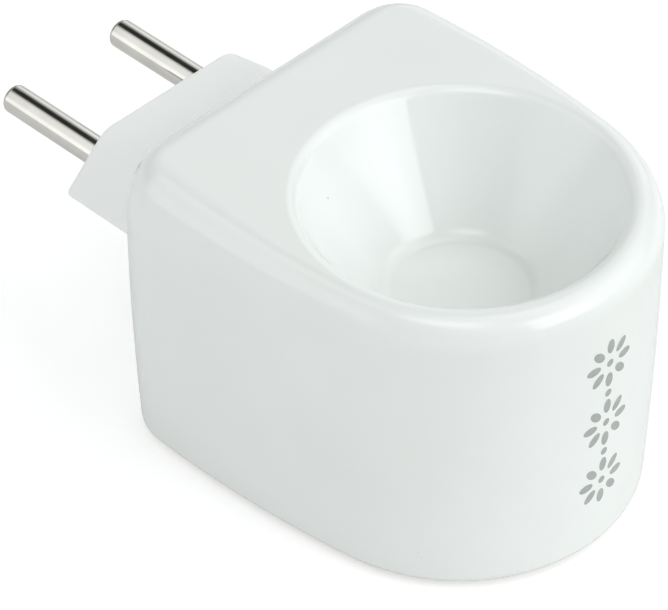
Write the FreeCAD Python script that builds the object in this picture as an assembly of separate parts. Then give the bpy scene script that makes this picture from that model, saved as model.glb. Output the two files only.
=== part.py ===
import FreeCAD, Part
import math
import os
from FreeCAD import Vector

# Plug-in wax melt warmer: a glazed porcelain body with a bowl in its top, and a two-pin plug in its back.
# Frame: +Z up, the pins point along +Y, the rounded front faces -Y. The origin is the centre of the overall
# box, on the surface that the rubber feet stand on. All sizes are in millimetres.

# Porcelain body, seen from above: straight back, rounded back corners, bowed sides, round front
front_radius = 24.6
side_swell = 1.8
side_radius = 155.0
bowl_setback = 37.0
back_corner_radius = 9.0
body_height = 43.3
wall = 3.4
base_draw_in = 1.0
base_edge_radius = 1.6

# Shoulder between the walls and the level top: its width and its drop grow towards the back
shoulder_front_width = 2.9
shoulder_side_width = 4.0
shoulder_back_width = 5.7
shoulder_front_drop = 3.2
shoulder_back_drop = 10.0
shoulder_corner_share = 0.66

# Bowl in the top, round about the centre of the front arc
rim_land = 0.2
rim_roll_radius = 1.8
bowl_depth = 15.5
bowl_floor_radius = 10.0
bowl_cove_radius = 3.0
bowl_wall = 3.2
bowl_wall_radius = 80.0

# Two-pin plug that stands out of the back wall
plug_width = 36.0
plug_height = 13.3
plug_end_run = 6.9
plug_edge_radius = 3.8
plug_point_radius = 0.5
plug_face_chamfer = 0.4
plug_nose_length = 15.0
plug_axis_height = 23.3
plug_opening_clearance = 0.25
plug_flange_width = 1.6
plug_flange_thickness = 2.4
plug_seat_depth = 0.7
plug_gasket_thickness = 0.8
plug_block_length = 3.5
plug_block_margin = 2.9
plug_block_height_share = 0.62

# Plug pins: the free part is the standard round pin, the root is moulded into the plug
pin_radius = 2.0
pin_length = 19.0
pin_pitch = 19.0
pin_tip_radius = 0.8
pin_root_radius = 1.6
pin_collar_radius = 2.4
pin_collar_length = 1.2
pin_collar_depth = 6.0
pin_tail_radius = 1.1
pin_tail_length = 3.5
moulded_clearance = 0.02

# Screws, bosses and the bracket that holds the plug's flange against the back wall
screw_radius = 1.25
screw_length = 15.8
screw_head_radius = 2.25
screw_head_height = 1.2
screw_slot_width = 0.7
screw_slot_depth = 0.6
screw_edge_margin = 0.5
screw_hole_radius = 1.5
boss_height = 11.1
boss_bite = 0.6
bracket_thickness = 1.2
bracket_lobe_radius = 2.8
bracket_strip_width = 3.2
bracket_prong_width = 3.2
bracket_prong_gap = 0.4
nut_flats = 5.0
nut_thickness = 2.0
seat_clearance = 0.05

# Base cover and feet
cover_thickness = 2.2
cover_recess = 0.3
cover_clearance = 0.35
post_radius = 2.8
peg_radius = 1.0
peg_height = 1.4
table_gap = 0.9
foot_radius = 4.0
foot_pocket_depth = 0.7
foot_pocket_clearance = 0.1
foot_edge_radius = 0.3
foot_edge_margin = 1.3
front_foot_angle = 50.0
rear_foot_share = 0.5

# Heater under the bowl, from the bowl down
thermal_pad_thickness = 0.5
spreader_radius = 9.5
spreader_thickness = 2.0
mica_thickness = 0.3
mica_margin = 0.9
electrode_thickness = 0.4
electrode_tab_width = 2.2
electrode_tab_offset = 4.4
electrode_tab_reach = 1.4
tongue_width = 0.9
tongue_length = 1.2
ptc_radius = 5.5
ptc_thickness = 2.4
cup_wall = 2.5
cup_floor = 2.0
cup_clearance = 0.3
leaf_thickness = 0.5
leaf_width = 6.0
leaf_rise = 3.0
leaf_top_half_length = 3.0
leaf_foot_length = 5.0
leaf_bend_radius = 0.8
peg_clearance = 0.2

# Thermal fuse beside the heater, and the leads
fuse_radius = 1.9
fuse_length = 9.0
fuse_wire_radius = 0.4
fuse_wire_length = 3.0
fuse_setback = 4.0
sleeve_wall = 0.35
sleeve_overhang = 1.0
clip_thickness = 0.4
clip_length = 5.0
lead_radius = 0.6
terminal_wall = 0.6
terminal_length = 5.5
terminal_setback = 0.3
crimp_wall = 0.5
crimp_length = 3.2
crimp_bite = 1.3
lead_straight = 2.4
arc_share = 0.45

overrun = 2.0
section_steps = 6

# Places worked out from the sizes
body_half_width = front_radius + side_swell
body_length = bowl_setback + front_radius
total_length = body_length + plug_nose_length + pin_length
back_y = total_length / 2 - pin_length - plug_nose_length
bowl_y = back_y - bowl_setback
front_y = bowl_y - front_radius
base_z = table_gap
rim_z = base_z + body_height
plug_z = base_z + plug_axis_height
pin_x = pin_pitch / 2
crest_radius = front_radius - shoulder_front_width - rim_land
bowl_floor_z = rim_z - bowl_depth
bowl_under_z = bowl_floor_z - bowl_wall

cover_inset = wall + base_draw_in + cover_clearance
cover_z = base_z + cover_recess
cover_top_z = cover_z + cover_thickness
boss_top_z = cover_top_z + boss_height
boss_reach = base_draw_in + cover_clearance + screw_head_radius + screw_edge_margin
boss_radius = boss_reach + boss_bite

plug_seat_y = back_y - wall + plug_seat_depth
plug_flange_y = plug_seat_y - plug_gasket_thickness
plug_block_y = plug_flange_y - plug_flange_thickness
plug_inner_y = plug_block_y - plug_block_length
pin_face_y = back_y + plug_nose_length
plug_block_half_width = pin_x + pin_root_radius + plug_block_margin
terminal_y = plug_inner_y - terminal_setback
terminal_end_y = terminal_y - terminal_length

pad_z = bowl_under_z - thermal_pad_thickness
spreader_z = pad_z - spreader_thickness
mica_z = spreader_z - mica_thickness
upper_electrode_z = mica_z - electrode_thickness
ptc_z = upper_electrode_z - ptc_thickness
lower_electrode_z = ptc_z - electrode_thickness
cup_z = lower_electrode_z - cup_floor
cup_inner_radius = ptc_radius + cup_clearance
cup_radius = cup_inner_radius + cup_wall
clip_z = spreader_z - seat_clearance - clip_thickness
cup_rim_z = clip_z - seat_clearance
tab_reach = cup_radius + electrode_tab_reach
leaf_foot_z = cup_z - leaf_rise
leaf_half_length = leaf_top_half_length + leaf_rise + leaf_foot_length
peg_x = leaf_half_length - leaf_foot_length / 2
fuse_z = upper_electrode_z + electrode_thickness / 2
fuse_x = -(cup_radius + front_radius - wall) / 2
fuse_y = bowl_y + fuse_setback
clip_y = (bowl_y + fuse_y) / 2
sleeve_radius = fuse_radius + moulded_clearance + sleeve_wall
clip_inner_radius = sleeve_radius + moulded_clearance
crimp_inner_radius = lead_radius + moulded_clearance


# Small geometry helpers
def box_between(low, high):
    """A box from its lowest to its highest corner."""
    return Part.makeBox(high.x - low.x, high.y - low.y, high.z - low.z, low)


def upright(radius, x, y, low_z, high_z):
    """A cylinder along Z."""
    return Part.makeCylinder(radius, high_z - low_z, Vector(x, y, low_z), Vector(0, 0, 1))


def lengthwise(radius, x, z, low_y, high_y):
    """A cylinder along Y."""
    return Part.makeCylinder(radius, high_y - low_y, Vector(x, low_y, z), Vector(0, 1, 0))


def mirrored(shape):
    """The same shape on the other side of the part's middle plane."""
    return shape.mirror(Vector(0, 0, 0), Vector(1, 0, 0))


def rounded_polygon(corners, radii):
    """A closed wire through the corners, each one rounded by its own radius, or sharp where it is 0."""
    starts = []
    ends = []
    arcs = []
    count = len(corners)
    for index in range(count):
        corner = corners[index]
        before = (corners[index - 1] - corner).normalize()
        after = (corners[(index + 1) % count] - corner).normalize()
        half_angle = before.getAngle(after) / 2
        radius = radii[index]
        reach = radius / math.tan(half_angle)
        start = corner + before * reach
        end = corner + after * reach
        starts.append(start)
        ends.append(end)
        if radius > 0:
            inward = (before + after).normalize()
            middle = corner + inward * (radius / math.sin(half_angle) - radius)
            arcs.append(Part.Arc(start, middle, end).toShape())
        else:
            arcs.append(None)
    edges = []
    for index in range(count):
        if arcs[index]:
            edges.append(arcs[index])
        edges.append(Part.LineSegment(ends[index], starts[(index + 1) % count]).toShape())
    return Part.Wire(edges)


def strip_outline(points, thickness):
    """The corners of a bent strip: a line of points, and the same line moved sideways by the thickness."""
    moved = []
    for index, point in enumerate(points):
        directions = []
        if index > 0:
            directions.append((point - points[index - 1]).normalize())
        if index < len(points) - 1:
            directions.append((points[index + 1] - point).normalize())
        sides = [Vector(-direction.z, 0, direction.x) for direction in directions]
        side = sum(sides, Vector(0, 0, 0)).normalize()
        moved.append(point + side * (thickness / side.dot(sides[0])))
    return points + moved[::-1]


def revolved(profile, axis_y):
    """A solid turned about a vertical axis at y from a closed profile of edges in the XZ plane."""
    face = Part.Face(Part.Wire(profile))
    face.translate(Vector(0, axis_y, 0))
    return face.revolve(Vector(0, axis_y, 0), Vector(0, 0, 1), 360)


# Porcelain body
def body_ring(front_inset, side_inset, back_inset, corner, front_z, back_z):
    """One closed section of the body: the plan outline moved inwards, in a plane that may rise to the back.
    Tangent arcs join in each section, so every wall is smooth from the back to the front."""
    arc_radius = front_radius - front_inset
    half_width = body_half_width - side_inset
    far_y = back_y - back_inset
    side_y = bowl_y + math.sqrt((side_radius - arc_radius) ** 2 - (side_radius - half_width) ** 2)
    side_centre = Vector(half_width - side_radius, side_y, 0)
    corner_y = far_y - corner
    corner_x = side_centre.x + math.sqrt((side_radius - corner) ** 2 - (corner_y - side_y) ** 2)
    corner_centre = Vector(corner_x, corner_y, 0)
    corner_way = (corner_centre - side_centre).normalize()
    front_way = (Vector(0, bowl_y, 0) - side_centre).normalize()
    middle_way = (corner_way + front_way).normalize()
    diagonal = (corner_way + Vector(0, 1, 0)).normalize()
    back_end = Vector(corner_x, far_y, 0)
    corner_end = side_centre + corner_way * side_radius
    side_end = side_centre + front_way * side_radius
    tip = Vector(0, bowl_y - arc_radius, 0)

    def flipped(point):
        return Vector(-point.x, point.y, point.z)

    corner_middle = corner_centre + diagonal * corner
    side_middle = side_centre + middle_way * side_radius
    edges = [
        Part.LineSegment(flipped(back_end), back_end),
        Part.Arc(back_end, corner_middle, corner_end),
        Part.Arc(corner_end, side_middle, side_end),
        Part.Arc(side_end, tip, flipped(side_end)),
        Part.Arc(flipped(side_end), flipped(side_middle), flipped(corner_end)),
        Part.Arc(flipped(corner_end), flipped(corner_middle), flipped(back_end)),
    ]
    wire = Part.Wire([edge.toShape() for edge in edges])
    rise = (back_z - front_z) / body_length
    lift = FreeCAD.Matrix()
    lift.A32 = rise
    lift.A34 = front_z - rise * front_y
    return wire.transformGeometry(lift)


def body_skin(inset, low_z, with_base_edge):
    """The closed body form, moved inwards by inset all round and at the top: walls that draw in towards the
    base along a parabola, then a shoulder of quarter ellipses up to the level top."""
    top_z = rim_z - inset
    corner = back_corner_radius - inset
    rings = []

    def add(front, side, back, corner_now, front_z, back_z):
        rings.append(body_ring(inset + front, inset + side, inset + back, corner_now, front_z, back_z))

    wall_low_z = low_z
    if with_base_edge:
        wall_low_z = low_z + base_edge_radius
        for step in range(section_steps):
            angle = math.pi / 2 * (1 - step / section_steps)
            move = base_draw_in + base_edge_radius * (1 - math.cos(angle))
            level = low_z + base_edge_radius * (1 - math.sin(angle))
            add(move, move, move, corner - move, level, level)
    front_top = top_z - shoulder_front_drop
    back_top = top_z - shoulder_back_drop
    for step in range(section_steps):
        down = 1 - step / section_steps
        move = base_draw_in * down ** 2
        front_z = front_top + (wall_low_z - front_top) * down
        back_z = back_top + (wall_low_z - back_top) * down
        add(move, move, move, corner - move, front_z, back_z)
    for step in range(section_steps + 1):
        angle = math.pi / 2 * step / section_steps
        across = 1 - math.cos(angle)
        below = 1 - math.sin(angle)
        add(
            shoulder_front_width * across,
            shoulder_side_width * across,
            shoulder_back_width * across,
            corner * (1 - shoulder_corner_share * across),
            top_z - shoulder_front_drop * below,
            top_z - shoulder_back_drop * below,
        )
    return Part.makeLoft(rings, True, False)


def bowl_slope():
    """The bowl wall's mean angle above level: that of a line from the floor's edge, tangent to the rim."""
    across = crest_radius - bowl_floor_radius
    up = bowl_depth - rim_roll_radius
    return math.atan2(up, across) + math.asin(rim_roll_radius / math.hypot(across, up))


def crossing(first, first_reach, second, second_reach):
    """The point at the two reaches from two points of the XZ plane, on the left of the way between them."""
    apart = second - first
    along = (first_reach ** 2 - second_reach ** 2 + apart.Length ** 2) / (2 * apart.Length)
    aside = math.sqrt(first_reach ** 2 - along ** 2)
    way = apart.normalize()
    return first + way * along + Vector(way.z, 0, -way.x) * aside


def bowl_hollow():
    """What the bowl takes out of the body: flat floor, cove, slightly hollow wall and the rolled rim."""
    reach = bowl_cove_radius * math.tan(bowl_slope() / 2)
    cove_centre = Vector(bowl_floor_radius - reach, 0, bowl_floor_z + bowl_cove_radius)
    roll_centre = Vector(crest_radius, 0, rim_z - rim_roll_radius)
    wall_centre = crossing(
        roll_centre,
        bowl_wall_radius + rim_roll_radius,
        cove_centre,
        bowl_wall_radius - bowl_cove_radius,
    )
    high_way = (roll_centre - wall_centre).normalize()
    low_way = (cove_centre - wall_centre).normalize()
    middle_way = (high_way + low_way).normalize()
    cove_way = (low_way + Vector(0, 0, -1)).normalize()
    roll_way = (Vector(0, 0, 1) - high_way).normalize()
    middle = Vector(0, 0, bowl_floor_z)
    floor_end = Vector(cove_centre.x, 0, bowl_floor_z)
    wall_low = wall_centre + low_way * bowl_wall_radius
    wall_high = wall_centre + high_way * bowl_wall_radius
    crest = Vector(crest_radius, 0, rim_z)
    top = Vector(0, 0, rim_z)
    profile = [
        Part.LineSegment(middle, floor_end),
        Part.Arc(floor_end, cove_centre + cove_way * bowl_cove_radius, wall_low),
        Part.Arc(wall_low, wall_centre + middle_way * bowl_wall_radius, wall_high),
        Part.Arc(wall_high, roll_centre + roll_way * rim_roll_radius, crest),
        Part.LineSegment(crest, top),
        Part.LineSegment(top, middle),
    ]
    return revolved([edge.toShape() for edge in profile], bowl_y)


def bowl_outside():
    """The bowl with its wall, from its flat underside up past the top of the cavity."""
    slope = bowl_slope()
    low_radius = bowl_floor_radius + bowl_wall * math.tan(slope / 2)
    high_radius = low_radius + (rim_z - bowl_under_z) / math.tan(slope)
    corners = [
        Vector(0, 0, bowl_under_z),
        Vector(low_radius, 0, bowl_under_z),
        Vector(high_radius, 0, rim_z),
        Vector(0, 0, rim_z),
        Vector(0, 0, bowl_under_z),
    ]
    return revolved(Part.makePolygon(corners).Edges, bowl_y)


def boss_places():
    """The three screw bosses: one in each back corner, and one at the front."""
    shift = (back_corner_radius - wall - boss_reach) / math.sqrt(2)
    corner_x = body_half_width - back_corner_radius
    rear_x = corner_x + shift
    rear_y = back_y - back_corner_radius + shift
    boss_front_y = front_y + wall + boss_reach
    return [Vector(rear_x, rear_y, 0), Vector(-rear_x, rear_y, 0), Vector(0, boss_front_y, 0)]


def plug_outline(margin, y):
    """The plug's long hexagon, in the plane at y, larger all round by margin."""
    half_width = plug_width / 2 + margin
    half_height = plug_height / 2 + margin
    shoulder = plug_width / 2 - plug_end_run + margin * plug_height / plug_width
    corners = [
        Vector(half_width, y, plug_z),
        Vector(shoulder, y, plug_z + half_height),
        Vector(-shoulder, y, plug_z + half_height),
        Vector(-half_width, y, plug_z),
        Vector(-shoulder, y, plug_z - half_height),
        Vector(shoulder, y, plug_z - half_height),
    ]
    radii = [plug_point_radius, plug_edge_radius, plug_edge_radius] * 2
    return rounded_polygon(corners, radii)


def plug_prism(margin, low_y, high_y):
    """A length of the plug's hexagon from low_y to high_y."""
    return Part.Face(plug_outline(margin, low_y)).extrude(Vector(0, high_y - low_y, 0))


def ceramic_body():
    """Glazed porcelain, one hollow piece: the bowl is part of it, and its underside is open."""
    body = body_skin(0, base_z, True).cut(bowl_hollow())
    cavity = body_skin(wall, base_z - overrun, False).cut(bowl_outside())
    body = body.cut(cavity)
    for place in boss_places():
        body = body.fuse(upright(boss_radius, place.x, place.y, cover_top_z, boss_top_z))
    for place in boss_places():
        low_z = cover_top_z - overrun
        high_z = boss_top_z + overrun
        body = body.cut(upright(screw_hole_radius, place.x, place.y, low_z, high_z))
    body = body.cut(plug_prism(plug_opening_clearance, back_y - wall - overrun, back_y + overrun))
    seat_margin = plug_flange_width + cover_clearance
    seat = plug_prism(seat_margin, plug_seat_y - wall, plug_seat_y)
    return body.cut(seat)


# Plug
def plug_pin(x):
    """Nickel-plated brass pin: free part with a rounded tip, moulded-in root with a collar, and a tail."""
    free = lengthwise(pin_radius, x, plug_z, pin_face_y, pin_face_y + pin_length)
    tip_edges = [edge for edge in free.Edges if edge.BoundBox.YMin > pin_face_y + pin_length - pin_tip_radius]
    pin = free.makeFillet(pin_tip_radius, tip_edges)
    pin = pin.fuse(lengthwise(pin_root_radius, x, plug_z, plug_inner_y, pin_face_y))
    collar_y = pin_face_y - pin_collar_depth
    pin = pin.fuse(lengthwise(pin_collar_radius, x, plug_z, collar_y - pin_collar_length, collar_y))
    pin = pin.fuse(lengthwise(pin_tail_radius, x, plug_z, plug_inner_y - pin_tail_length, plug_inner_y))
    return pin.removeSplitter()


def plug_body():
    """White moulded plug: the hexagonal nose, the flange inside the wall and the block behind it."""
    nose = plug_prism(0, plug_flange_y, pin_face_y)
    rim = [edge for edge in nose.Edges if edge.BoundBox.YMin > pin_face_y - plug_face_chamfer]
    nose = nose.makeChamfer(plug_face_chamfer, rim)
    flange = plug_prism(plug_flange_width, plug_block_y, plug_flange_y)
    half_height = plug_block_height_share * plug_height / 2
    block = box_between(
        Vector(-plug_block_half_width, plug_inner_y, plug_z - half_height),
        Vector(plug_block_half_width, plug_block_y, plug_z + half_height),
    )
    body = nose.fuse(flange).fuse(block).removeSplitter()
    for x in (-pin_x, pin_x):
        root = pin_root_radius + moulded_clearance
        collar = pin_collar_radius + moulded_clearance
        collar_y = pin_face_y - pin_collar_depth + moulded_clearance
        collar_low_y = pin_face_y - pin_collar_depth - pin_collar_length - moulded_clearance
        body = body.cut(lengthwise(root, x, plug_z, plug_inner_y - overrun, pin_face_y + overrun))
        body = body.cut(lengthwise(collar, x, plug_z, collar_low_y, collar_y))
    return body


def plug_gasket():
    """Silicone ring between the plug's flange and the flat seat inside the back wall."""
    ring = plug_prism(plug_flange_width, plug_flange_y, plug_seat_y)
    return ring.cut(plug_prism(moulded_clearance, plug_flange_y - overrun, plug_seat_y + overrun))


def plug_bracket():
    """Steel bracket on the two rear bosses. Its prongs hold the plug's flange against the wall."""
    places = boss_places()[:2]
    low_z = boss_top_z
    high_z = low_z + bracket_thickness
    face_y = plug_block_y
    strip_x = places[0].x
    bracket = box_between(
        Vector(-strip_x, face_y - bracket_strip_width, low_z),
        Vector(strip_x, face_y, high_z),
    )
    for place in places:
        bracket = bracket.fuse(upright(bracket_lobe_radius, place.x, place.y, low_z, high_z))
    prong_x = plug_block_half_width + bracket_prong_gap
    prong = box_between(
        Vector(prong_x, face_y - bracket_thickness, low_z),
        Vector(prong_x + bracket_prong_width, face_y, plug_z + plug_height / 2),
    )
    bracket = bracket.fuse(prong).fuse(mirrored(prong)).removeSplitter()
    for place in places:
        thread = screw_radius + moulded_clearance
        bracket = bracket.cut(upright(thread, place.x, place.y, low_z - overrun, high_z + overrun))
    return bracket


# Base
def base_screws():
    """Three countersunk slotted screws: two into the bracket, one into the nut."""
    screws = []
    for place in boss_places():
        end_z = cover_z + screw_length
        shank = upright(screw_radius, place.x, place.y, cover_z + screw_head_height, end_z)
        head = Part.makeCone(
            screw_head_radius,
            screw_radius,
            screw_head_height,
            Vector(place.x, place.y, cover_z),
            Vector(0, 0, 1),
        )
        slot = box_between(
            Vector(place.x - screw_head_radius, place.y - screw_slot_width / 2, cover_z - overrun),
            Vector(place.x + screw_head_radius, place.y + screw_slot_width / 2, cover_z + screw_slot_depth),
        )
        screws.append(shank.fuse(head).removeSplitter().cut(slot))
    return Part.makeCompound(screws)


def boss_nut():
    """Hexagon nut on the front boss."""
    place = boss_places()[2]
    corner_radius = nut_flats / math.sqrt(3)
    corners = []
    for index in range(6):
        angle = math.pi / 3 * index
        x = place.x + corner_radius * math.cos(angle)
        y = place.y + corner_radius * math.sin(angle)
        corners.append(Vector(x, y, boss_top_z))
    corners.append(corners[0])
    nut = Part.Face(Part.makePolygon(corners)).extrude(Vector(0, 0, nut_thickness))
    thread = screw_radius + moulded_clearance
    high_z = boss_top_z + nut_thickness
    return nut.cut(upright(thread, place.x, place.y, boss_top_z - overrun, high_z + overrun))


def foot_places():
    """Four feet: two round the front, two beside the middle of the body's straight part."""
    inset = cover_inset + foot_edge_margin + foot_radius
    reach = front_radius - inset
    angle = math.radians(front_foot_angle)
    front_x = reach * math.sin(angle)
    near_y = bowl_y - reach * math.cos(angle)
    rear_x = body_half_width - inset
    far_y = bowl_y + bowl_setback * rear_foot_share
    return [
        Vector(front_x, near_y, 0),
        Vector(-front_x, near_y, 0),
        Vector(rear_x, far_y, 0),
        Vector(-rear_x, far_y, 0),
    ]


def base_cover():
    """Moulded cover that closes the underside, with two posts for the heater's leaf spring."""
    corner = back_corner_radius - cover_inset
    outline = body_ring(cover_inset, cover_inset, cover_inset, corner, cover_z, cover_z)
    cover = Part.Face(outline).extrude(Vector(0, 0, cover_thickness))
    for x in (-peg_x, peg_x):
        cover = cover.fuse(upright(post_radius, x, bowl_y, cover_z, leaf_foot_z))
        cover = cover.fuse(upright(peg_radius, x, bowl_y, cover_z, leaf_foot_z + peg_height))
    cover = cover.removeSplitter()
    for place in foot_places():
        pocket = foot_radius + foot_pocket_clearance
        pocket_top_z = cover_z + foot_pocket_depth
        cover = cover.cut(upright(pocket, place.x, place.y, cover_z - overrun, pocket_top_z))
    for place in boss_places():
        sink = Part.makeCone(
            screw_head_radius + seat_clearance,
            screw_radius + seat_clearance,
            screw_head_height,
            Vector(place.x, place.y, cover_z),
            Vector(0, 0, 1),
        )
        hole = upright(screw_radius + seat_clearance, place.x, place.y, cover_z, cover_top_z + overrun)
        cover = cover.cut(sink).cut(hole)
    return cover


def rubber_feet():
    """Four round silicone feet in shallow pockets of the base cover."""
    feet = []
    for place in foot_places():
        foot = upright(foot_radius, place.x, place.y, 0, cover_z + foot_pocket_depth)
        low_edges = [edge for edge in foot.Edges if edge.BoundBox.ZMax < foot_edge_radius]
        feet.append(foot.makeFillet(foot_edge_radius, low_edges))
    return Part.makeCompound(feet)


# Heater
def disc(radius, low_z, high_z):
    """A disc on the bowl's axis."""
    return upright(radius, 0, bowl_y, low_z, high_z)


def thermal_pad():
    """Soft heat-conducting pad between the bowl's underside and the spreader."""
    return disc(spreader_radius, pad_z, bowl_under_z)


def heat_spreader():
    """Aluminium disc that spreads the heat over the bowl's floor."""
    plate = disc(spreader_radius, spreader_z, pad_z)
    low_edges = [edge for edge in plate.Edges if edge.BoundBox.ZMax < spreader_z + mica_thickness]
    return plate.makeChamfer(mica_thickness, low_edges)


def bar(low_x, high_x, low_reach, high_reach, low_z, high_z):
    """A flat bar. Its reaches are measured from the bowl's axis, and are negative towards the front."""
    return box_between(
        Vector(low_x, bowl_y + low_reach, low_z),
        Vector(high_x, bowl_y + high_reach, high_z),
    )


def mica_sheet():
    """Mica insulation between the spreader and the upper electrode with its tab."""
    low_x = -electrode_tab_offset - electrode_tab_width / 2
    high_x = -electrode_tab_offset + electrode_tab_width / 2
    tail = bar(low_x, high_x, -spreader_radius - mica_thickness, 0, mica_z, spreader_z)
    return disc(cup_inner_radius + mica_margin, mica_z, spreader_z).fuse(tail).removeSplitter()


def electrode_upper():
    """Brass contact disc with a tab towards the front, and a narrow tongue to the left for the crimp."""
    low_z = upper_electrode_z
    half_tab = electrode_tab_width / 2
    half_tongue = tongue_width / 2
    low_x = -electrode_tab_offset - half_tab
    tab = bar(low_x, -electrode_tab_offset + half_tab, -tab_reach - half_tab, 0, low_z, mica_z)
    tongue = bar(
        low_x - tongue_length,
        low_x,
        -tab_reach - half_tongue,
        -tab_reach + half_tongue,
        low_z,
        mica_z,
    )
    return disc(ptc_radius, low_z, mica_z).fuse(tab).fuse(tongue).removeSplitter()


def electrode_lower():
    """The other contact disc, with its tab and tongue towards the back."""
    low_z = lower_electrode_z
    x = electrode_tab_offset
    half_tab = electrode_tab_width / 2
    half_tongue = tongue_width / 2
    tab = bar(x - half_tab, x + half_tab, 0, tab_reach, low_z, ptc_z)
    tongue = bar(x - half_tongue, x + half_tongue, tab_reach, tab_reach + tongue_length, low_z, ptc_z)
    return disc(ptc_radius, low_z, ptc_z).fuse(tab).fuse(tongue).removeSplitter()


def ptc_disc():
    """Self-limiting ceramic heating disc."""
    return disc(ptc_radius, ptc_z, upper_electrode_z)


def heater_cup():
    """Steatite cup that holds the heating disc and its contacts, with a notch for each tab."""
    cup = disc(cup_radius, cup_z, cup_rim_z)
    cup = cup.cut(disc(cup_inner_radius, lower_electrode_z, cup_rim_z + overrun))
    end = cup_radius + overrun
    high_z = cup_rim_z + overrun
    near_x = electrode_tab_offset - electrode_tab_width
    far_x = electrode_tab_offset + electrode_tab_width
    cup = cup.cut(bar(-far_x, -near_x, -end, 0, lower_electrode_z, high_z))
    return cup.cut(bar(near_x, far_x, 0, end, lower_electrode_z, high_z))


def leaf_spring():
    """Bent stainless strip on the cover's posts. It presses the cup up against the bowl."""
    top_z = cup_z - seat_clearance - leaf_thickness
    line = [
        Vector(-leaf_half_length, 0, leaf_foot_z),
        Vector(leaf_foot_length - leaf_half_length, 0, leaf_foot_z),
        Vector(-leaf_top_half_length, 0, top_z),
        Vector(leaf_top_half_length, 0, top_z),
        Vector(leaf_half_length - leaf_foot_length, 0, leaf_foot_z),
        Vector(leaf_half_length, 0, leaf_foot_z),
    ]
    bends = [0] + [leaf_bend_radius] * 4 + [0]
    wire = rounded_polygon(strip_outline(line, leaf_thickness), bends + bends)
    strip = Part.Face(wire).extrude(Vector(0, leaf_width, 0))
    strip.translate(Vector(0, bowl_y - leaf_width / 2, 0))
    for x in (-peg_x, peg_x):
        hole = peg_radius + peg_clearance
        strip = strip.cut(upright(hole, x, bowl_y, leaf_foot_z - overrun, leaf_foot_z + overrun))
    return strip


# Thermal fuse, terminals and leads
def tube(inner, thickness, start, way, length):
    """A straight tube from a start point in a direction."""
    bore = Part.makeCylinder(inner, length + 2 * overrun, start - way * overrun, way)
    return Part.makeCylinder(inner + thickness, length, start, way).cut(bore)


def thermal_fuse():
    """One-shot thermal fuse with its two wires, lying beside the heater."""
    half = fuse_length / 2
    reach = half + fuse_wire_length
    fuse = lengthwise(fuse_radius, fuse_x, fuse_z, fuse_y - half, fuse_y + half)
    wire = lengthwise(fuse_wire_radius, fuse_x, fuse_z, fuse_y - reach, fuse_y + reach)
    return fuse.fuse(wire).removeSplitter()


def fuse_sleeve():
    """Glass-fibre sleeve over the fuse."""
    length = fuse_length + 2 * sleeve_overhang
    start = Vector(fuse_x, fuse_y - length / 2, fuse_z)
    return tube(fuse_radius + moulded_clearance, sleeve_wall, start, Vector(0, 1, 0), length)


def fuse_clip():
    """Stainless clip round the sleeve. Its tongue is held between the cup's rim and the spreader."""
    low_y = clip_y - clip_length / 2
    high_y = clip_y + clip_length / 2
    band = lengthwise(clip_inner_radius + clip_thickness, fuse_x, fuse_z, low_y, high_y)
    tongue = box_between(
        Vector(fuse_x, low_y, clip_z),
        Vector(-(cup_inner_radius + mica_margin + seat_clearance), high_y, clip_z + clip_thickness),
    )
    clip = band.fuse(tongue).removeSplitter()
    return clip.cut(lengthwise(clip_inner_radius, fuse_x, fuse_z, low_y - overrun, high_y + overrun))


def pin_terminals():
    """Crimp barrels that join the leads to the tails of the two pins."""
    inner = pin_tail_radius + moulded_clearance
    way = Vector(0, -1, 0)
    barrels = []
    for x in (-pin_x, pin_x):
        start = Vector(x, terminal_y, plug_z)
        barrels.append(tube(inner, terminal_wall, start, way, terminal_length))
    return Part.makeCompound(barrels)


def crimp_places():
    """For each crimp sleeve, the point where its lead comes out and the direction that it comes out in."""
    back = Vector(0, 1, 0)
    front = Vector(0, -1, 0)
    left = Vector(-1, 0, 0)
    upper_x = -electrode_tab_offset - electrode_tab_width / 2 - crimp_length
    lower_z = lower_electrode_z + electrode_thickness / 2
    fuse_reach = fuse_length / 2 + fuse_wire_length - crimp_bite + crimp_length
    return {
        "upper_tab": (Vector(upper_x, bowl_y - tab_reach, fuse_z), left),
        "lower_tab": (Vector(electrode_tab_offset, bowl_y + tab_reach + crimp_length, lower_z), back),
        "fuse_rear": (Vector(fuse_x, fuse_y + fuse_reach, fuse_z), back),
        "fuse_front": (Vector(fuse_x, fuse_y - fuse_reach, fuse_z), front),
    }


def lead_crimps():
    """Crimp sleeves: one on each electrode tongue, and one on each wire of the fuse."""
    sleeves = []
    for end, way in crimp_places().values():
        sleeves.append(tube(crimp_inner_radius, crimp_wall, end - way * crimp_length, way, crimp_length))
    return Part.makeCompound(sleeves)


def lead(name, points):
    """A round lead along the points: straight runs, and at each point the largest tangent arc they allow."""
    edges = []
    start = points[0]
    radii = []
    for index in range(1, len(points) - 1):
        point = points[index]
        before = points[index - 1] - point
        after = points[index + 1] - point
        half_turn = (math.pi - before.getAngle(after)) / 2
        reach = arc_share * min(before.Length, after.Length)
        radius = reach / math.tan(half_turn)
        radii.append(round(radius, 2))
        before.normalize()
        after.normalize()
        arc_start = point + before * reach
        arc_end = point + after * reach
        inward = (before + after).normalize()
        middle = point + inward * (radius / math.cos(half_turn) - radius)
        edges.append(Part.LineSegment(start, arc_start).toShape())
        edges.append(Part.Arc(arc_start, middle, arc_end).toShape())
        start = arc_end
    edges.append(Part.LineSegment(start, points[-1]).toShape())
    path = Part.Wire(edges)
    length = path.Length
    way = (points[1] - points[0]).normalize()
    circle = Part.Wire(Part.makeCircle(lead_radius, points[0], way))
    tube = path.makePipeShell([circle], True, False)
    expected = math.pi * lead_radius ** 2 * length
    print(name, "length", round(length, 1), "radii", radii, "volume share", round(tube.Volume / expected, 4))
    return tube


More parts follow.
